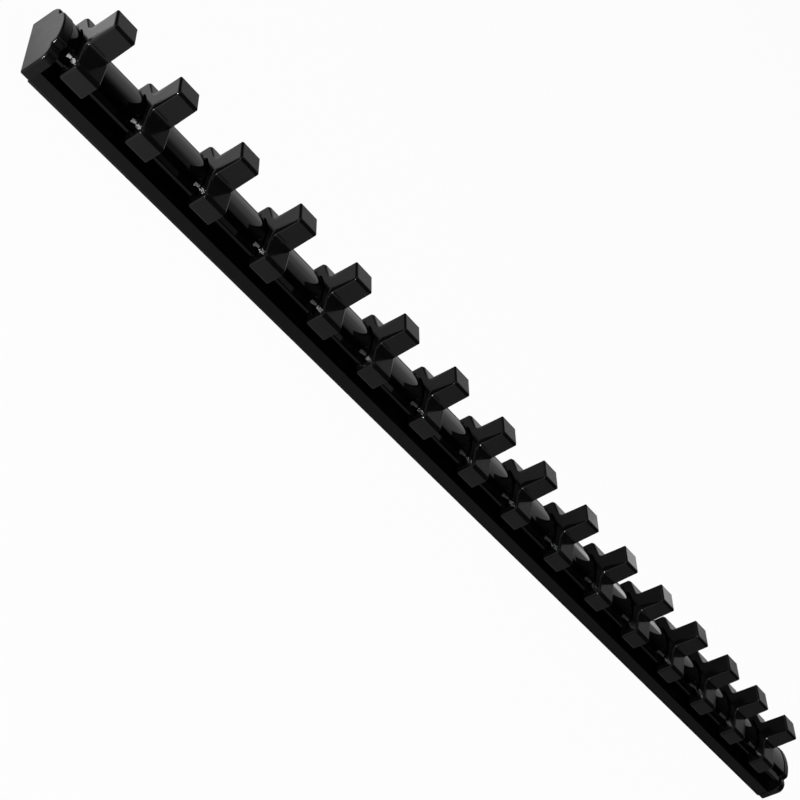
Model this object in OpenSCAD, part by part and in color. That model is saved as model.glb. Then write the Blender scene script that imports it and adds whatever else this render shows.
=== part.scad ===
// Magnetic socket rail with sixteen sliding clips.
// X runs along the rail, Y across it and Z up the posts. The origin is
// in the middle of the underside, and all sizes are in millimetres.

/* [Clips] */
// Side of a clip's square post at its tip, for a quarter inch drive
post_w = 6.4; // [5:0.1:7]
// Side of the post where it meets the saddle
post_root_w = 6.7; // [6.4:0.1:7.2]
// Length of the post above the saddle's slopes
post_len = 8.8; // [6:0.1:14]
// Length of the chamfer round the post's tip
post_chamfer = 0.5; // [0.2:0.1:1]
// Shift of the post from the saddle's middle, which brings one side flush
post_shift = 0.35; // [0:0.05:0.4]
// Width of a clip along the rail
clip_w = 7.4; // [7.3:0.1:12]
// Thickness of a foot's wall beside the head
foot_wall = 1.95; // [1.2:0.05:3]
// Thickness of the saddle's roof above its space for the crown
roof_t = 1.28; // [0.6:0.02:3]
// Rise of a slope from the chamfer to the post
slope_rise = 1.2; // [0.6:0.05:2.5]
// Width of the chamfer along the upper edge of a foot
chamfer_w = 0.8; // [0.3:0.05:1.5]
// Height of that chamfer
chamfer_h = 0.8; // [0.3:0.05:1.5]
// Radius of a foot's lower outer corner
foot_r = 0.8; // [0.3:0.1:1.2]
// Thickness of the hook under the head
hook_t = 1.2; // [0.8:0.05:1.5]
// Reach of the hook under the head
hook_reach = 1; // [0.5:0.1:1.5]
// Radius of the hollow fillet at the foot of the post
fillet_r = 0.9; // [0.4:0.1:1.2]

/* [Clip places] */
// Even spacing of the clips
clip_pitch = 22; // [16:0.5:40]
// Shift of each clip from its even place, as pushed along by hand
clip_shift = [
    0, -0.6, -0.3, 0.2, 1.1, 0.2, 1.4, 2.6,
    2.2, 2.9, 3.5, 3.6, 3.5, 2.6, 0.8, -0.7
];
// Bare rail between the left cap and the first clip
left_room = 3; // [1:0.1:40]
// Bare rail between the last clip and the right cap
right_room = 12; // [1:0.1:60]

/* [Rail section] */
// Width of the base
base_w = 19.5; // [18:0.1:30]
// Height of the base above the pad
base_h = 3.2; // [2.5:0.1:6]
// Radius of the base's upper edges
base_r = 0.3; // [0.1:0.1:1]
// Height of the groove under the head
groove_h = 3.55; // [2.5:0.05:3.9]
// Width of the neck between the two grooves
neck_w = 11; // [10.6:0.1:12.8]
// Width of the head over its side lips
head_w = 16; // [15:0.1:18]
// Height of the head's side lips
lip_h = 1; // [0.6:0.05:1.5]
// Rise of the shoulder from the lip to the crown
shoulder_rise = 0.6; // [0.2:0.05:0.9]
// Width of the crown
crown_w = 11; // [10:0.1:13]
// Height of the crown above the shoulder
crown_h = 2.5; // [2.3:0.05:4]
// Radius of the crown's curved top
crown_r = 14; // [12:0.5:40]
// Radius of the crown's edges
crown_edge_r = 1.1; // [0.4:0.1:1.3]
// Width of the closed hollow inside the head
core_w = 8.2; // [5:0.1:9]
// Height of that hollow
core_h = 3.4; // [2:0.1:3.8]
// Thickness of the web between the hollow and the magnets
web_t = 1; // [0.8:0.1:1.5]

/* [Magnets] */
// Width of a bar magnet
magnet_w = 9; // [6:0.5:10]
// Thickness of a bar magnet
magnet_t = 3.6; // [2:0.1:3.8]
// Length of a bar magnet
magnet_len = 38; // [10:1:42]
// Thickness of the steel strip above the magnets
keeper_t = 1; // [0.5:0.1:1.2]
// Distance of the steel strip's ends from the caps
keeper_inset = 2; // [0.5:0.5:20]
// Thickness of the pad under the base
pad_t = 0.8; // [0.4:0.1:2]

/* [End caps] */
// Thickness of a cap's plate
cap_t = 2.8; // [1.2:0.1:4]
// Radius of a cap's shoulders
cap_r = 3; // [1:0.1:3.5]
// Radius of a cap's lower corners
cap_low_r = 0.5; // [0.3:0.1:1.5]
// Height of a cap's underside, which clears the surface under the pad
cap_lift = 0.3; // [0.1:0.1:2]
// How far a cap stands out from the rail all round
cap_proud = 0.2; // [0:0.05:0.4]
// Length of the tongue that holds a cap in the rail
tongue_len = 9; // [4:0.5:20]

/* [Fits] */
// Gap between a clip and the head's sides and underside
slide_gap = 0.12; // [0.05:0.01:0.3]
// Gap between a clip and the rounded crown
crown_gap = 0.4; // [0.3:0.05:0.8]
// Gap round the magnets and the steel strip
magnet_gap = 0.1; // [0.05:0.05:0.3]
// Gap round a cap's tongue
tongue_gap = 0.05; // [0.02:0.01:0.2]

/* [Hidden] */
$fn = 96;
NODES = [
    "rail", "end_cap_left", "end_cap_right", "base_pad", "keeper_strip",
    "magnet_1", "magnet_2", "magnet_3", "magnet_4",
    "magnet_5", "magnet_6", "magnet_7", "magnet_8",
    "clip_01", "clip_02", "clip_03", "clip_04",
    "clip_05", "clip_06", "clip_07", "clip_08",
    "clip_09", "clip_10", "clip_11", "clip_12",
    "clip_13", "clip_14", "clip_15", "clip_16"
];

MAGNET_NODES = [for (name = NODES) if (name[0] == "m") name];
CLIP_NODES = [for (name = NODES) if (name[0] == "c") name];
clip_count = len(CLIP_NODES);
magnet_count = len(MAGNET_NODES);

// Lengths along X
last_shift = clip_shift[clip_count - 1];
clip_span = clip_pitch * (clip_count - 1) + last_shift + clip_w;
bare_len = left_room + clip_span + right_room;
rail_len = bare_len + 2 * cap_t;
rail_x0 = -bare_len / 2;
first_clip_x = rail_x0 + left_room;
magnet_pitch = bare_len / magnet_count;

// Heights of the rail's steps above the surface that it rests on
base_top = pad_t + base_h;
head_z = base_top + groove_h;
lip_top = head_z + lip_h;
crown_z = lip_top + shoulder_rise;
crown_top = crown_z + crown_h;
channel_w = magnet_w + 2 * magnet_gap;
channel_top = pad_t + magnet_t + keeper_t + magnet_gap;
core_z = channel_top + web_t;

// Places of a clip's steps
cavity_w = head_w + 2 * slide_gap;
cavity_z = head_z - slide_gap;
cavity_top = crown_z + crown_gap;
arch_w = crown_w + 2 * crown_gap;
arch_top = crown_top + crown_gap;
foot_z = cavity_z - hook_t;
foot_w = cavity_w + 2 * foot_wall;
root_z = arch_top + roof_t;
slope_z = root_z - slope_rise;
foot_top = slope_z - chamfer_h;
tip_z = root_z + post_len;
mouth_w = cavity_w - 2 * hook_reach;

function clip_x(i) = first_clip_x + clip_pitch * i + clip_shift[i];

// Turns a drawing of the section, with Y across and Z up, into a bar
// from x0 that runs for len along X.
module bar(x0, len) {
    translate([x0, 0, 0])
        rotate([90, 0, 90])
            linear_extrude(len)
                children();
}

module wide_rect(w, z0, z1) {
    translate([-w / 2, z0])
        square([w, z1 - z0]);
}

// A flat-sided crown with a curved top and rounded edges.
module crown_shape(w, z0, z1, top_r, edge_r) {
    centre_z = z1 - top_r;
    edge_y = w / 2 - edge_r;
    edge_z = centre_z + sqrt(pow(top_r - edge_r, 2) - pow(edge_y, 2));
    touch_w = 2 * edge_y * top_r / (top_r - edge_r);
    wide_rect(w, z0, edge_z);
    for (side = [-1, 1])
        translate([side * edge_y, edge_z])
            circle(edge_r);
    intersection() {
        translate([0, centre_z])
            circle(top_r, $fn = 240);
        wide_rect(touch_w, z0, z1 + 1);
    }
}

// A rectangle whose two upper corners are round.
module round_top(w, z0, z1, r) {
    wide_rect(w, z0, z1 - r);
    wide_rect(w - 2 * r, z0, z1);
    for (side = [-1, 1])
        translate([side * (w / 2 - r), z1 - r])
            circle(r);
}

module rail_section() {
    difference() {
        union() {
            round_top(base_w, pad_t, base_top, base_r);
            wide_rect(neck_w, pad_t, head_z + lip_h / 2);
            polygon([
                [-head_w / 2, head_z],
                [head_w / 2, head_z],
                [head_w / 2, lip_top],
                [crown_w / 2, crown_z],
                [-crown_w / 2, crown_z],
                [-head_w / 2, lip_top]
            ]);
            crown_shape(crown_w, lip_top, crown_top, crown_r, crown_edge_r);
        }
        wide_rect(channel_w, pad_t - 1, channel_top);
        wide_rect(core_w, core_z, core_z + core_h);
    }
}

module rail() {
    color([0.03, 0.03, 0.03])
        bar(rail_x0, bare_len)
            rail_section();
}

module cap_section() {
    half_w = base_w / 2 + cap_proud;
    low_z = cap_lift + cap_low_r;
    round_top(2 * half_w, low_z, crown_z + cap_proud, cap_r);
    wide_rect(2 * (half_w - cap_low_r), cap_lift, low_z);
    for (side = [-1, 1])
        translate([side * (half_w - cap_low_r), low_z])
            circle(cap_low_r);
    crown_shape(
        crown_w + 2 * cap_proud, lip_top, crown_top + cap_proud,
        crown_r + cap_proud, crown_edge_r + cap_proud
    );
}

// Side is -1 for the left end and 1 for the right one.
module end_cap(side) {
    inner_x = side * bare_len / 2;
    color([0.12, 0.12, 0.13]) {
        bar(min(inner_x, inner_x + side * cap_t), cap_t)
            cap_section();
        bar(min(inner_x, inner_x - side * tongue_len), tongue_len)
            wide_rect(
                core_w - 2 * tongue_gap,
                core_z + tongue_gap, core_z + core_h - tongue_gap
            );
    }
}

module end_cap_left() {
    end_cap(-1);
}

module end_cap_right() {
    end_cap(1);
}

module base_pad() {
    color([0.16, 0.16, 0.16])
        bar(rail_x0, bare_len)
            wide_rect(base_w, 0, pad_t);
}

module keeper_strip() {
    color([0.6, 0.61, 0.63])
        bar(rail_x0 + keeper_inset, bare_len - 2 * keeper_inset)
            wide_rect(magnet_w, pad_t + magnet_t, pad_t + magnet_t + keeper_t);
}

module magnet(i) {
    middle_x = rail_x0 + magnet_pitch * (i + 0.5);
    color([0.35, 0.35, 0.37])
        bar(middle_x - magnet_len / 2, magnet_len)
            wide_rect(magnet_w, pad_t, pad_t + magnet_t);
}

// The filled outline of a clip's saddle, without the space for the rail.
module saddle_outline() {
    wide_rect(foot_w - 2 * foot_r, foot_z, foot_top);
    wide_rect(foot_w, foot_z + foot_r, foot_top);
    for (side = [-1, 1])
        translate([side * (foot_w / 2 - foot_r), foot_z + foot_r])
            circle(foot_r);
    polygon([
        [-foot_w / 2, foot_top],
        [foot_w / 2, foot_top],
        [foot_w / 2 - chamfer_w, slope_z],
        [post_root_w / 2, root_z],
        [-post_root_w / 2, root_z],
        [-foot_w / 2 + chamfer_w, slope_z]
    ]);
}

// The space that a clip keeps free for the rail's head.
module saddle_space() {
    wide_rect(mouth_w, foot_z - 1, cavity_z);
    wide_rect(cavity_w, cavity_z, cavity_top);
    crown_shape(
        arch_w, cavity_z, arch_top, crown_r + crown_gap, crown_edge_r + crown_gap
    );
}

// The hollow fillet between a slope and the side of the post.
module root_fillet() {
    slope_run = foot_w / 2 - chamfer_w - post_root_w / 2;
    slope_angle = atan(slope_rise / slope_run);
    run = fillet_r * tan((90 - slope_angle) / 2);
    post_y = post_root_w / 2;
    difference() {
        polygon([
            [post_y - 0.5, root_z - 0.5],
            [post_y + run * cos(slope_angle), root_z - run * sin(slope_angle)],
            [post_y, root_z + run],
            [post_y - 0.5, root_z + run]
        ]);
        translate([post_y + fillet_r, root_z + run])
            circle(fillet_r);
    }
}

// A post with the fillets at its foot.
module post() {
    post_shape();
    bar(-post_root_w / 2, post_root_w)
        for (side = [0, 1])
            mirror([side, 0])
                root_fillet();
}

// A tapering four-sided bar as the overlap of two flat prisms.
module post_shape() {
    half_root = post_root_w / 2;
    half_tip = post_w / 2;
    low_z = arch_top + 0.2;
    tip_y = half_tip - post_chamfer;
    outline = [
        [-half_root, low_z], [half_root, low_z], [half_root, root_z],
        [half_tip, tip_z - post_chamfer], [tip_y, tip_z],
        [-tip_y, tip_z], [-half_tip, tip_z - post_chamfer],
        [-half_root, root_z]
    ];
    intersection() {
        bar(-half_root, 2 * half_root)
            polygon(outline);
        rotate([0, 0, 90])
            bar(-half_root, 2 * half_root)
                polygon(outline);
    }
}

module clip(i) {
    color([0.1, 0.1, 0.105])
        translate([clip_x(i) + clip_w / 2, 0, 0])
            difference() {
                union() {
                    bar(-clip_w / 2, clip_w)
                        saddle_outline();
                    translate([-post_shift, 0, 0])
                        post();
                }
                bar(-clip_w / 2 - 1, clip_w + 2)
                    saddle_space();
            }
}

rail();
end_cap_left();
end_cap_right();
base_pad();
keeper_strip();
for (i = [0 : magnet_count - 1])
    magnet(i);
for (i = [0 : clip_count - 1])
    clip(i);
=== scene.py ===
import bpy
import bmesh
import math
from mathutils import Matrix, Vector


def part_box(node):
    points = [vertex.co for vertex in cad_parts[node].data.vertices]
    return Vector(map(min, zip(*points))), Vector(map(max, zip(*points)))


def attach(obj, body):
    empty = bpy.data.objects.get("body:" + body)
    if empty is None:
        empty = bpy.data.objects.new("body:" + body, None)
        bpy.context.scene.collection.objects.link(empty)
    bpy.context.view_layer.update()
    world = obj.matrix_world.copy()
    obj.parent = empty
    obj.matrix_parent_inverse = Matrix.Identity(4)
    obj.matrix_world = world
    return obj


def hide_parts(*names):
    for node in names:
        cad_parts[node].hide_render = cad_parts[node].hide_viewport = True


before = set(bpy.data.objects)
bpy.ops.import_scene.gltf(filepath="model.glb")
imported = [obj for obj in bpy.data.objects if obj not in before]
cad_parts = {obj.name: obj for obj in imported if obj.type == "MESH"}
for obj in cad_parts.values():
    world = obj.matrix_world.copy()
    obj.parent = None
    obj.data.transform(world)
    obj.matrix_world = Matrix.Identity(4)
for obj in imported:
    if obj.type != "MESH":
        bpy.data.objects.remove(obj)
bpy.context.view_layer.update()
scene = bpy.context.scene
scene.view_settings.view_transform = "Standard"
mm = 0.001
tiny = 1e-4  # how far apart two points may be and still count as one, in millimetres
print("frame loaded with", len(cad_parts), "nodes")

view = {
    "place": (-300.27, -327.33, 184.79),  # millimetres
    "turn": (46.880, -54.608, -1.117),  # degrees
    "lens": 76.0, "sensor": 36, "clip": (0.01, 30),
}
camera = bpy.data.objects.new("camera", bpy.data.cameras.new("camera"))
scene.collection.objects.link(camera)
camera.location = [v * mm for v in view["place"]]
camera.rotation_euler = [math.radians(v) for v in view["turn"]]
camera.data.sensor_width = view["sensor"]
camera.data.lens = view["lens"]
camera.data.clip_start, camera.data.clip_end = view["clip"]
scene.camera = camera
print("camera placed")


def newMaterial(name):
    material = bpy.data.materials.new(name)
    material.use_nodes = True
    tree = material.node_tree
    tree.nodes.clear()
    output = tree.nodes.new("ShaderNodeOutputMaterial")
    shader = tree.nodes.new("ShaderNodeBsdfPrincipled")
    tree.links.new(shader.outputs["BSDF"], output.inputs["Surface"])
    coords = tree.nodes.new("ShaderNodeTexCoord")
    return material, tree, shader, coords.outputs["Object"]


# detail and roughness of each noise, and the parts of its range that are used
noiseLook = {
    "cloud": (4.0, 0.6), "patch": (5.0, 0.65), "bump": (3.0, 0.6),
    "colourSpan": (0.35, 0.65), "roughSpan": (0.3, 0.7),
}


def addNoise(tree, place, scale, kind, stretch=None):
    if stretch:
        mapping = tree.nodes.new("ShaderNodeMapping")
        mapping.inputs["Scale"].default_value = stretch
        tree.links.new(place, mapping.inputs["Vector"])
        place = mapping.outputs["Vector"]
    noise = tree.nodes.new("ShaderNodeTexNoise")
    noise.inputs["Scale"].default_value = scale
    noise.inputs["Detail"].default_value, noise.inputs["Roughness"].default_value = noiseLook[kind]
    tree.links.new(place, noise.inputs["Vector"])
    return noise.outputs["Fac"]


def addRange(tree, value, low, high, start, end, smooth=False):
    ranger = tree.nodes.new("ShaderNodeMapRange")
    ranger.interpolation_type = "SMOOTHSTEP" if smooth else "LINEAR"
    ranger.inputs["From Min"].default_value = start
    ranger.inputs["From Max"].default_value = end
    ranger.inputs["To Min"].default_value = low
    ranger.inputs["To Max"].default_value = high
    tree.links.new(value, ranger.inputs["Value"])
    return ranger.outputs["Result"]


def addColours(tree, value, first, second):
    ramp = tree.nodes.new("ShaderNodeValToRGB")
    for element, position, colour in zip(
        ramp.color_ramp.elements, noiseLook["colourSpan"], (first, second)
    ):
        element.position = position
        element.color = (*colour, 1)
    tree.links.new(value, ramp.inputs["Fac"])
    return ramp.outputs["Color"]


def addBump(tree, shader, layers):
    below = None
    for height, strength, depth in layers:
        bump = tree.nodes.new("ShaderNodeBump")
        bump.inputs["Strength"].default_value = strength
        bump.inputs["Distance"].default_value = depth
        tree.links.new(height, bump.inputs["Height"])
        if below:
            tree.links.new(below, bump.inputs["Normal"])
        below = bump.outputs["Normal"]
    tree.links.new(below, shader.inputs["Normal"])


def makeFinish(name, look):
    material, tree, shader, place = newMaterial(name)
    cloud = addNoise(tree, place, look["cloud"], "cloud")
    colour = addColours(tree, cloud, look["dark"], look["light"])
    tree.links.new(colour, shader.inputs["Base Color"])
    patch = addNoise(tree, place, look["patch"], "patch")
    roughness = addRange(tree, patch, *look["roughness"], *noiseLook["roughSpan"])
    tree.links.new(roughness, shader.inputs["Roughness"])
    shader.inputs["IOR"].default_value = look["ior"]
    shader.inputs["Metallic"].default_value = look.get("metallic", 0)
    if "coat" in look:
        for socket, value in zip(("Coat Weight", "Coat Roughness", "Coat IOR"), look["coat"]):
            shader.inputs[socket].default_value = value
    layers = [
        (addNoise(tree, place, scale, "bump", look.get("stretch")), strength, depth)
        for scale, strength, depth in look["bumps"]
    ]
    addBump(tree, shader, layers)
    return material


# cloud, patch and the first number of each bump are noise scales, a bump has a strength and a
# depth in metres after that, and a coat has its weight, roughness and index
finishes = {
    "clipPlastic": {
        "dark": (0.0022, 0.0022, 0.0025), "light": (0.0034, 0.0034, 0.0038),
        "cloud": 260, "patch": 420, "roughness": (0.36, 0.44), "ior": 1.09,
        "coat": (1.0, 0.12, 1.32),
        "bumps": [(240, 0.10, 0.0003), (2600, 0.10, 0.00004)],
    },
    "railGloss": {
        "dark": (0.0004, 0.0004, 0.0005), "light": (0.0008, 0.0008, 0.0009),
        "cloud": 120, "patch": 60, "roughness": (0.03, 0.07), "ior": 1.27,
        "bumps": [(70, 0.05, 0.0002), (900, 0.03, 0.00002)],
    },
    "crownStrongerReflection": {  # the crown of the head: a copy of the gloss with a higher index, a painted stronger reflection on the top of the one extrusion
        "dark": (0.0004, 0.0004, 0.0005), "light": (0.0008, 0.0008, 0.0009),
        "cloud": 120, "patch": 60, "roughness": (0.03, 0.07), "ior": 1.57,
        "bumps": [(70, 0.05, 0.0002), (900, 0.03, 0.00002)],
    },
    "capPlastic": {
        "dark": (0.0015, 0.0015, 0.0017), "light": (0.0026, 0.0026, 0.0028),
        "cloud": 300, "patch": 500, "roughness": (0.24, 0.3), "ior": 1.27,
        "bumps": [(300, 0.10, 0.0003), (3200, 0.2, 0.00005)],
    },
    "padRubber": {
        "dark": (0.004, 0.004, 0.004), "light": (0.006, 0.006, 0.006),
        "cloud": 500, "patch": 600, "roughness": (0.5, 0.6), "ior": 1.2,
        "bumps": [(1800, 0.3, 0.00008)],
    },
    "keeperSteel": {
        "dark": (0.48, 0.49, 0.50), "light": (0.58, 0.59, 0.60),
        "cloud": 200, "patch": 300, "roughness": (0.28, 0.4), "ior": 1.5, "metallic": 1,
        "bumps": [(1500, 0.15, 0.00003)], "stretch": (0.05, 1, 1),
    },
    "magnetFerrite": {
        "dark": (0.07, 0.07, 0.075), "light": (0.1, 0.1, 0.105),
        "cloud": 600, "patch": 900, "roughness": (0.45, 0.6), "ior": 1.6,
        "bumps": [(2200, 0.25, 0.00006)],
    },
}
made = {name: makeFinish(name, look) for name, look in finishes.items()}
print("materials made:", len(made))


def pointsOf(geometry):
    return [v for v in geometry if isinstance(v, bmesh.types.BMVert)]


# draws an outline at x = 0: a line goes to y, z, and an arc turns round y, z by degrees in steps
def follow(bm, moves):
    pen = None
    for move in moves:
        if move[0] == "arc":
            turned = bmesh.ops.spin(
                bm, geom=[pen], cent=(0, move[1], move[2]), axis=(1, 0, 0),
                angle=math.radians(move[3]), steps=move[4],
            )
            pen = pointsOf(turned["geom_last"])[0]
        else:
            spot = bm.verts.new((0, move[1], move[2]))
            if pen:
                bm.edges.new((pen, spot))
            pen = spot


# mirrors half an outline, closes it with an edge at bridgeZ if it is open there, and draws it out
def fillAndStretch(bm, start, end, bridgeZ=None):
    bmesh.ops.mirror(bm, geom=bm.verts[:] + bm.edges[:], axis="Y", merge_dist=tiny)
    bmesh.ops.remove_doubles(bm, verts=bm.verts[:], dist=tiny)
    if bridgeZ:
        bm.edges.new([v for v in bm.verts if abs(v.co.z - bridgeZ) < tiny])
    bmesh.ops.edgeloop_fill(bm, edges=bm.edges[:])
    bmesh.ops.translate(bm, vec=(start, 0, 0), verts=bm.verts[:])
    grown = bmesh.ops.extrude_face_region(bm, geom=bm.faces[:], use_keep_orig=True)
    bmesh.ops.translate(bm, vec=(end - start, 0, 0), verts=pointsOf(grown["geom"]))
    bmesh.ops.recalc_face_normals(bm, faces=bm.faces[:])


def lieAt(points, axis, value):
    return all(abs(v.co[axis] - value) < tiny for v in points)


def addPiece(name, bm, material, body, nodeName, sharp=30):
    bmesh.ops.scale(bm, vec=(mm, mm, mm), verts=bm.verts[:])
    mesh = bpy.data.meshes.new(name)
    bm.to_mesh(mesh)
    bm.free()
    mesh.materials.append(material)
    mesh.shade_smooth()
    mesh.set_sharp_from_angle(angle=math.radians(sharp))
    piece = bpy.data.objects.new(name, mesh)
    scene.collection.objects.link(piece)
    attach(piece, body)
    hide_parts(nodeName)
    return piece


# the width is in millimetres, times an edge's own weight where the limit is WEIGHT
def softenEdges(piece, width, segments, limit="ANGLE", angle=35, clamp=True):
    bevel = piece.modifiers.new("edges", "BEVEL")
    bevel.width = width * mm
    bevel.segments = segments
    bevel.limit_method = limit
    bevel.angle_limit = math.radians(angle)
    bevel.miter_outer = "MITER_ARC"
    bevel.use_clamp_overlap = clamp
    bevel.harden_normals = False
    weighted = piece.modifiers.new("normals", "WEIGHTED_NORMAL")
    weighted.keep_sharp = True
    weighted.weight = 60


railShape = {  # millimetres and degrees
    "padTop": 0.8, "baseTop": 4.0, "baseHalf": 9.75, "baseRound": 0.3,
    "neckHalf": 5.5, "headHalf": 8.0, "headLow": 7.55, "lipTop": 8.55,
    "crownHalf": 5.5, "crownLow": 9.15, "crownTop": 11.65,
    "crownRadius": 14.0, "crownEdge": 1.1, "crownDraft": 17, "crownFoot": 5.74,
    "channelHalf": 4.6, "channelTop": 5.5,
    "soften": 0.18, "softenFrom": 35,
    "strongerReflectionFrom": 0.5,  # the head's faces whose normals point up more than this get the stronger-reflecting copy of the gloss, a painted brighter top
}


# the crown is an arc round a low centre with a tighter arc at each side: gives the centre's
# height, where the arcs meet in degrees from upright, and the height of the side arcs' centres
def crownArcs():
    s = railShape
    centre = s["crownTop"] - s["crownRadius"]
    run = s["crownRadius"] - s["crownEdge"]
    lean = math.degrees(math.asin((s["crownHalf"] - s["crownEdge"]) / run))
    return centre, lean, centre + math.cos(math.radians(lean)) * run


def crownMoves(proud):
    s = railShape
    centre, lean, sideCentre = crownArcs()
    return [
        ("line", 0, s["crownTop"] + proud),
        ("arc", 0, centre, -lean, 14),
        ("arc", s["crownHalf"] - s["crownEdge"], sideCentre, lean + s["crownDraft"] - 90, 8),
    ]


def makeRail():
    s = railShape
    low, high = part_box("rail")
    bm = bmesh.new()
    follow(bm, crownMoves(0) + [
        ("line", s["crownFoot"], s["crownLow"]),
        ("line", s["headHalf"], s["lipTop"]),
        ("line", s["headHalf"], s["headLow"]),
        ("line", s["neckHalf"], s["headLow"]),
        ("line", s["neckHalf"], s["baseTop"]),
        ("line", s["baseHalf"] - s["baseRound"], s["baseTop"]),
        ("arc", s["baseHalf"] - s["baseRound"], s["baseTop"] - s["baseRound"], -90, 4),
        ("line", s["baseHalf"], s["padTop"]),
        ("line", s["channelHalf"], s["padTop"]),
        ("line", s["channelHalf"], s["channelTop"]),
        ("line", 0, s["channelTop"]),
    ])
    fillAndStretch(bm, low.x / mm, high.x / mm)
    weights = bm.edges.layers.float.new("bevel_weight_edge")
    for e in bm.edges:
        if e.calc_face_angle_signed() > math.radians(s["softenFrom"]):
            e[weights] = 1.0
    # faces that point up take the second material, the stronger-reflecting copy of the gloss: a
    # painted brighter top
    for f in bm.faces:
        f.normal_update()
        if f.normal.z > s["strongerReflectionFrom"] and f.calc_center_median().z > s["crownLow"]:
            f.material_index = 1
    piece = addPiece(
        "railExtrusion", bm, made["railGloss"], "rail_assembly", "rail"
    )
    piece.data.materials.append(made["crownStrongerReflection"])
    softenEdges(piece, s["soften"], 3, "WEIGHT")


capShape = {
    "lift": 0.3, "lowRound": 0.5, "proud": 0.2, "shoulder": 3.0, "thick": 2.8,
    "faceRound": (0.6, 1.2),  # left and right
    "soften": 0.08, "softenFrom": 50,
}


def makeCap(name, nodeName, side):
    s, c = railShape, capShape
    low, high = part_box(nodeName)
    outer = (low.x if side < 0 else high.x) / mm
    half = s["baseHalf"] + c["proud"]
    shoulderTop = s["crownLow"] + c["proud"]
    bm = bmesh.new()
    follow(bm, crownMoves(c["proud"]) + [
        ("line", s["crownFoot"] + c["proud"], shoulderTop),
        ("line", half - c["shoulder"], shoulderTop),
        ("arc", half - c["shoulder"], shoulderTop - c["shoulder"], -90, 10),
        ("line", half, c["lift"] + c["lowRound"]),
        ("arc", half - c["lowRound"], c["lift"] + c["lowRound"], -90, 6),
        ("line", 0, c["lift"]),
    ])
    fillAndStretch(bm, outer, outer - side * c["thick"])
    rim = [e for e in bm.edges if lieAt(e.verts, 0, outer)]
    bmesh.ops.bevel(
        bm, geom=rim, offset=c["faceRound"][side > 0], offset_type="OFFSET", segments=6,
        profile=0.5, affect="EDGES", material=-1, clamp_overlap=True,
    )
    piece = addPiece(
        name, bm, made["capPlastic"], "rail_assembly", nodeName, c["softenFrom"]
    )
    softenEdges(piece, c["soften"], 2, angle=c["softenFrom"])


clipShape = {
    "wide": 7.4, "footHalf": 10.07, "footLow": 6.23, "footRound": 0.8,
    "footTop": 11.33, "slopeHalf": 9.27, "slopeZ": 12.13, "rootZ": 13.33,
    "mouthHalf": 7.12, "cavityHalf": 8.12, "cavityLow": 7.43, "cavityTop": 9.55,
    "archGap": 0.4, "archEnd": 12.03, "rootHalf": 3.35, "tipHalf": 3.2, "tipZ": 22.13,
    "postShift": 0.35,
    "markRadius": 0.5, "markPlace": (-1.3, 15.97), "markDepth": 0.3, "markInset": 0.02,
}
# how wide each kind of edge is rounded, in millimetres, with near and far as the camera sees them
clipEdges = {
    "root": 1.3, "sideNear": 0.55, "sideFar": 0.2, "tipLeft": 0.65, "tipFront": 0.85,
    "tipFar": 0.12, "farEnd": 0.35, "nearEnd": 0.7, "foot": 0.25, "step": 0.2,
}


def drawSaddle(bm):
    s, r = clipShape, railShape
    centre, lean, sideCentre = crownArcs()
    archHalf = r["crownHalf"] + s["archGap"]
    follow(bm, [
        ("line", s["rootHalf"], s["rootZ"]),
        ("line", s["slopeHalf"], s["slopeZ"]),
        ("line", s["footHalf"], s["footTop"]),
        ("line", s["footHalf"], s["footLow"] + s["footRound"]),
        ("arc", s["footHalf"] - s["footRound"], s["footLow"] + s["footRound"], -90, 6),
        ("line", s["mouthHalf"], s["footLow"]),
        ("line", s["mouthHalf"], s["cavityLow"]),
        ("line", s["cavityHalf"], s["cavityLow"]),
        ("line", s["cavityHalf"], s["cavityTop"]),
        ("line", archHalf, s["cavityTop"]),
        ("line", archHalf, sideCentre),
        ("arc", r["crownHalf"] - r["crownEdge"], sideCentre, 90 - lean, 6),
        ("arc", 0, centre, lean, 8),
    ])
    fillAndStretch(bm, -s["wide"] / 2, s["wide"] / 2, s["rootZ"])


# the post grows out of the flat strip on top of the saddle, which is wider than the post
def growPost(bm, reach):
    s = clipShape
    strip = [f for f in bm.faces if lieAt(f.verts, 2, s["rootZ"])]
    bmesh.ops.bisect_plane(
        bm, geom=strip + strip[0].edges[:] + strip[0].verts[:],
        plane_co=(reach, 0, 0), plane_no=(1, 0, 0), dist=tiny / 10,
    )
    strip = [
        f for f in bm.faces
        if lieAt(f.verts, 2, s["rootZ"]) and all(v.co.x < reach + tiny for v in f.verts)
    ]
    post = bmesh.ops.extrude_face_region(bm, geom=strip)
    bmesh.ops.delete(bm, geom=strip, context="FACES_ONLY")
    for v in pointsOf(post["geom"]):
        v.co.z = s["tipZ"]
        v.co.x = math.copysign(s["tipHalf"], v.co.x) - s["postShift"]
        v.co.y = math.copysign(s["tipHalf"], v.co.y)
    bmesh.ops.recalc_face_normals(bm, faces=bm.faces[:])


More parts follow.
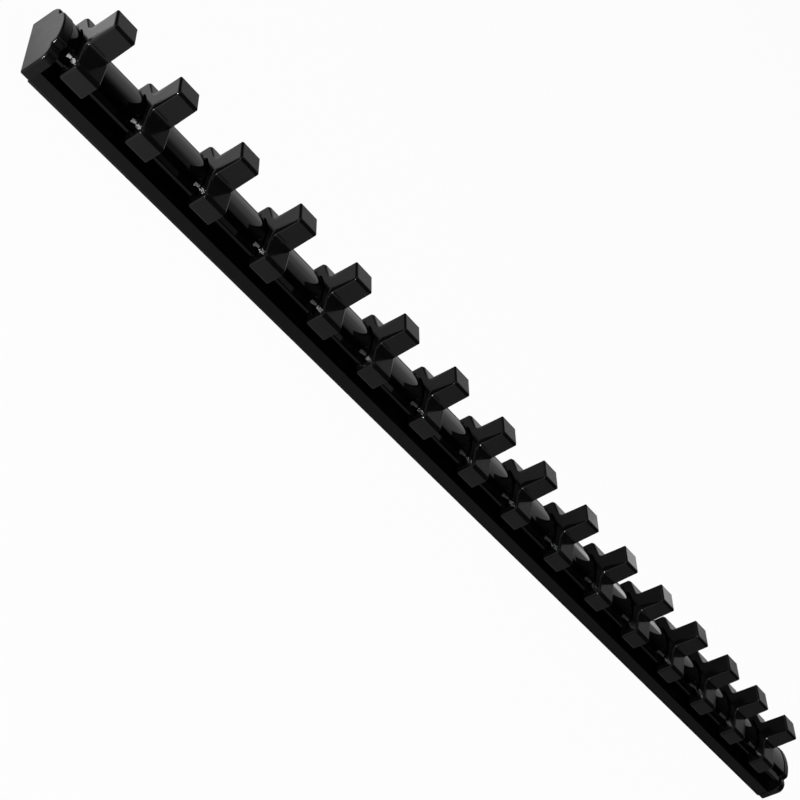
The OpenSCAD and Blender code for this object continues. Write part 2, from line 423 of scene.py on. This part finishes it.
# names the kind of edge in clipEdges, or None where it stays sharp
def edgeKind(e, reach):
    s = clipShape
    a, b = (v.co for v in e.verts)
    low, high = min(a.z, b.z), max(a.z, b.z)
    across, along = (a.y + b.y) / 2, (a.x + b.x) / 2 + s["postShift"]
    inCavity = max(abs(a.y), abs(b.y)) < s["cavityHalf"] + tiny and low < s["archEnd"]
    atRoot = lieAt(e.verts, 2, s["rootZ"])
    if lieAt(e.verts, 2, s["tipZ"]):
        if along < -s["tipHalf"] / 2:
            return "tipLeft"
        return "tipFront" if across < -s["tipHalf"] / 2 else "tipFar"
    if high > s["tipZ"] - tiny:
        return "sideNear" if along < 0 and across < 0 else "sideFar"
    if atRoot and abs(a.y - b.y) < tiny and max(a.x, b.x) < reach + tiny:
        return "root"
    if atRoot and lieAt(e.verts, 0, reach):
        return "step"
    if lieAt(e.verts, 0, s["wide"] / 2) and not inCavity:
        return "farEnd"
    if lieAt(e.verts, 0, -s["wide"] / 2) and not inCavity and low < s["rootZ"] - tiny:
        return "nearEnd"
    if lieAt(e.verts, 2, s["footTop"]) or lieAt(e.verts, 2, s["slopeZ"]):
        return "foot"
    return None


def addMark(bm):
    s = clipShape
    place = Matrix.Translation((s["markInset"] - s["wide"] / 2, *s["markPlace"]))
    mark = bmesh.ops.create_circle(
        bm, cap_ends=True, segments=20, radius=s["markRadius"],
        matrix=place @ Matrix.Rotation(math.radians(-90), 4, "Y"),
    )
    disc = [f for f in bm.faces if all(v in mark["verts"] for v in f.verts)]
    pushed = bmesh.ops.extrude_face_region(bm, geom=disc, use_keep_orig=True)
    bmesh.ops.translate(bm, vec=(s["markDepth"], 0, 0), verts=pointsOf(pushed["geom"]))
    bmesh.ops.recalc_face_normals(bm, faces=bm.faces[:])


def makeClip(index):
    nodeName = "clip_%02d" % index
    low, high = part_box(nodeName)
    reach = clipShape["rootHalf"] - clipShape["postShift"]
    bm = bmesh.new()
    drawSaddle(bm)
    growPost(bm, reach)
    weights = bm.edges.layers.float.new("bevel_weight_edge")
    for e in bm.edges:
        kind = edgeKind(e, reach)
        if kind:
            e[weights] = clipEdges[kind]
    addMark(bm)
    bmesh.ops.translate(bm, vec=((low.x + high.x) / 2 / mm, 0, 0), verts=bm.verts[:])
    piece = addPiece(
        "clipMoulding%02d" % index, bm, made["clipPlastic"], nodeName + "_slider",
        nodeName,
    )
    softenEdges(piece, 1.0, 5, "WEIGHT", clamp=False)


clipCount, magnetCount = 16, 8
makeRail()
makeCap("capLeft", "end_cap_left", -1)
makeCap("capRight", "end_cap_right", 1)
for number in range(1, clipCount + 1):
    makeClip(number)
keptNodes = {"base_pad": "padRubber", "keeper_strip": "keeperSteel"}
keptNodes.update({"magnet_%d" % n: "magnetFerrite" for n in range(1, magnetCount + 1)})
for nodeName, finish in keptNodes.items():
    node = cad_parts[nodeName]
    node.data.materials.clear()
    node.data.materials.append(made[finish])
print("pieces made")

studio = {
    "floorSize": 6.0, "floorColour": (0.8, 0.8, 0.8),
    "floorShow": 0.95,  # the even white's share, with shaded paper for the rest
    "floorSplit": 0.01,  # half the width of the strip where the front fade turns into the back one
    # how bright the gloss sees the floor, at x in metres, before and behind the rail
    "frontFade": [
        (-0.30, 1.15), (-0.19, 0.85), (-0.09, 0.48), (0.0, 0.36), (0.08, 0.23), (0.2, 0.17),
    ],
    "backFade": [
        (-0.30, 1.6), (-0.19, 1.35), (-0.181, 1.05), (-0.172, 0.85), (-0.14, 0.61),
        (-0.106, 0.41), (-0.07, 0.36), (-0.028, 0.33), (0.0, 0.22), (0.05, 0.14),
        (0.11, 0.085), (0.2, 0.06),
    ],
    "farFade": (0.042, 0.09, 0.5),  # y where the floor behind starts and ends darkening, its share
    "backdrop": 1.2,  # the backdrop that the camera sees, on the world's own grey of 0.8
    "fill": 0.4,
    "wall": (0.47, 0.55, 0.98),  # strength, and the heights at which it starts and ends fading
    "wallSide": (45, 0.5, 0.8),  # where it stands, and the closeness at which it starts and is full
    # soft lights that only the gloss sees: turn and rise of the middle, reach of the full and of
    # the faded part in degrees, and tall for how much higher than wide
    "glows": [
        {"turn": 53, "rise": 12, "tall": 1.3, "inner": 8, "outer": 13, "strength": 0.16},
        {"turn": 42.2, "rise": 18.5, "tall": 1.5, "inner": 1.0, "outer": 3.0, "strength": 1.6},
        {"turn": 44.3, "rise": 12.5, "tall": 2, "inner": 1.0, "outer": 3.0, "strength": 1.5},
        {"turn": 142, "rise": 35, "tall": 1.8, "inner": 8, "outer": 20, "strength": 0.6},
        {"turn": 33, "rise": 50, "tall": 1, "inner": 5, "outer": 13, "strength": 0.15},
        {"turn": 215, "rise": 38, "tall": 1.5, "inner": 22, "outer": 45, "strength": 0.5},
        {"turn": 0, "rise": 90, "tall": 1, "inner": 14, "outer": 20, "strength": 1.2},
    ],
    "key": {"place": (-0.5, -0.7, 1.3), "size": (1.0, 1.0), "watts": 14.0},
    # small lamps for glints along the edges
    "sparks": [(-0.36, -0.30, 0.03), (-0.31, -0.33, 0.04)], "sparkWatts": 11, "sparkRadius": 0.006,
}


def joinMath(tree, operation, first, second):
    node = tree.nodes.new("ShaderNodeMath")
    node.operation = operation
    for socket, value in zip(node.inputs, (first, second)):
        if isinstance(value, (int, float)):
            socket.default_value = value
        else:
            tree.links.new(value, socket)
    return node.outputs["Value"]


def joinVector(tree, operation, first, second=None):
    node = tree.nodes.new("ShaderNodeVectorMath")
    node.operation = operation
    tree.links.new(first, node.inputs[0])
    if second:
        node.inputs[1].default_value = second
    return node.outputs["Value" if operation == "DOT_PRODUCT" else "Vector"]


# 1 for the rays that see the backdrop and the walls, and 0 for soft light, times a share
def shownRays(tree, share):
    path = tree.nodes.new("ShaderNodeLightPath")
    value = joinMath(tree, "MAXIMUM", path.outputs["Is Camera Ray"], path.outputs["Is Glossy Ray"])
    value = joinMath(tree, "MAXIMUM", value, path.outputs["Is Transmission Ray"])
    return joinMath(tree, "MULTIPLY", value, share), path.outputs["Is Camera Ray"]


# an even level for the camera, whatever the gloss sees there
def plainForCamera(tree, value, isCamera, level):
    others = joinMath(tree, "MULTIPLY", value, joinMath(tree, "SUBTRACT", 1, isCamera))
    return joinMath(tree, "ADD", others, joinMath(tree, "MULTIPLY", isCamera, level))


def addFade(tree, value, stops):
    start, end = stops[0][0], stops[-1][0]
    brightest = max(level for x, level in stops)  # the curve itself holds values up to 1
    ramp = tree.nodes.new("ShaderNodeFloatCurve")
    curve = ramp.mapping.curves[0]
    for i, (x, level) in enumerate(stops):
        spot = ((x - start) / (end - start), level / brightest)
        if i < 2:
            curve.points[i].location = spot
        else:
            curve.points.new(*spot)
    ramp.mapping.update()
    tree.links.new(addRange(tree, value, 0, 1, start, end), ramp.inputs["Value"])
    return joinMath(tree, "MULTIPLY", ramp.outputs["Value"], brightest)


def makeFloor():
    bm = bmesh.new()
    bmesh.ops.create_grid(bm, x_segments=1, y_segments=1, size=studio["floorSize"] / 2)
    mesh = bpy.data.meshes.new("floor")
    bm.to_mesh(mesh)
    bm.free()
    floor = bpy.data.objects.new("floor", mesh)
    scene.collection.objects.link(floor)
    material = bpy.data.materials.new("floorPaper")
    material.use_nodes = True
    tree = material.node_tree
    tree.nodes.clear()
    output = tree.nodes.new("ShaderNodeOutputMaterial")
    paper = tree.nodes.new("ShaderNodeBsdfDiffuse")
    paper.inputs["Color"].default_value = (*studio["floorColour"], 1)
    coords = tree.nodes.new("ShaderNodeTexCoord")
    split = tree.nodes.new("ShaderNodeSeparateXYZ")
    tree.links.new(coords.outputs["Object"], split.inputs["Vector"])
    front = addFade(tree, split.outputs["X"], studio["frontFade"])
    back = addFade(tree, split.outputs["X"], studio["backFade"])
    behind = addRange(tree, split.outputs["Y"], 0, 1, -studio["floorSplit"], studio["floorSplit"])
    start, end, share = studio["farFade"]
    far = addRange(tree, split.outputs["Y"], 1, share, start, end)
    back = joinMath(tree, "MULTIPLY", back, far)
    fade = joinMath(
        tree, "ADD", joinMath(tree, "MULTIPLY", back, behind),
        joinMath(tree, "MULTIPLY", front, joinMath(tree, "SUBTRACT", 1, behind)),
    )
    shown, isCamera = shownRays(tree, studio["floorShow"])
    glow = tree.nodes.new("ShaderNodeEmission")
    tree.links.new(plainForCamera(tree, fade, isCamera, 1), glow.inputs["Strength"])
    mix = tree.nodes.new("ShaderNodeMixShader")
    tree.links.new(shown, mix.inputs["Fac"])
    tree.links.new(paper.outputs["BSDF"], mix.inputs[1])
    tree.links.new(glow.outputs["Emission"], mix.inputs[2])
    tree.links.new(mix.outputs["Shader"], output.inputs["Surface"])
    mesh.materials.append(material)


def addGlow(tree, place, glow):
    turn, rise = math.radians(glow["turn"]), math.radians(glow["rise"])
    flat = 1 / glow["tall"]
    out = math.cos(rise)
    aim = Vector((out * math.cos(turn), out * math.sin(turn), math.sin(rise) * flat)).normalized()
    squashed = joinVector(tree, "NORMALIZE", joinVector(tree, "MULTIPLY", place, (1, 1, flat)))
    near = joinVector(tree, "DOT_PRODUCT", squashed, aim)
    outer, inner = (math.cos(math.radians(glow[k])) for k in ("outer", "inner"))
    return addRange(tree, near, 0, glow["strength"], outer, inner, smooth=True)


def makeWorld():
    world = bpy.data.worlds.new("studio")
    scene.world = world
    world.use_nodes = True
    tree = world.node_tree
    tree.nodes.clear()
    output = tree.nodes.new("ShaderNodeOutputWorld")
    coords = tree.nodes.new("ShaderNodeTexCoord")
    place = coords.outputs["Generated"]
    split = tree.nodes.new("ShaderNodeSeparateXYZ")
    tree.links.new(place, split.inputs["Vector"])
    wall, start, end = studio["wall"]
    turn, begin, full = studio["wallSide"]
    level = addRange(tree, split.outputs["Z"], wall, 0.0, start, end, smooth=True)
    facing = (math.cos(math.radians(turn)), math.sin(math.radians(turn)), 0)
    side = joinVector(tree, "DOT_PRODUCT", place, facing)
    level = joinMath(tree, "MULTIPLY", level, addRange(tree, side, 0, 1, begin, full, smooth=True))
    for glow in studio["glows"]:
        level = joinMath(tree, "ADD", level, addGlow(tree, place, glow))
    share, isCamera = shownRays(tree, 1)
    shown = tree.nodes.new("ShaderNodeBackground")
    level = plainForCamera(tree, level, isCamera, studio["backdrop"])
    tree.links.new(level, shown.inputs["Strength"])
    fill = tree.nodes.new("ShaderNodeBackground")
    fill.inputs["Strength"].default_value = studio["fill"]
    mix = tree.nodes.new("ShaderNodeMixShader")
    tree.links.new(share, mix.inputs["Fac"])
    tree.links.new(fill.outputs["Background"], mix.inputs[1])
    tree.links.new(shown.outputs["Background"], mix.inputs[2])
    tree.links.new(mix.outputs["Shader"], output.inputs["Surface"])


def addLamp(name, kind, place, watts, size=None, radius=None):
    data = bpy.data.lights.new(name, kind)
    data.energy = watts
    if kind == "AREA":
        data.shape = "RECTANGLE"
        data.size, data.size_y = size
    else:
        data.shadow_soft_size = radius
    lamp = bpy.data.objects.new(name, data)
    scene.collection.objects.link(lamp)
    lamp.location = place
    lamp.rotation_euler = (-Vector(place)).to_track_quat("-Z", "Y").to_euler()  # aimed at the rail
    return lamp


makeFloor()
makeWorld()
keyLook = studio["key"]
key = addLamp("key", "AREA", keyLook["place"], keyLook["watts"], size=keyLook["size"])
key.visible_glossy = False  # the gloss sees the walls, the glows and the small lamps
for i, place in enumerate(studio["sparks"]):
    spark = addLamp(
        "spark%d" % (i + 1), "POINT", place, studio["sparkWatts"], radius=studio["sparkRadius"]
    )
    spark.visible_diffuse = spark.visible_camera = False
print("studio ready")
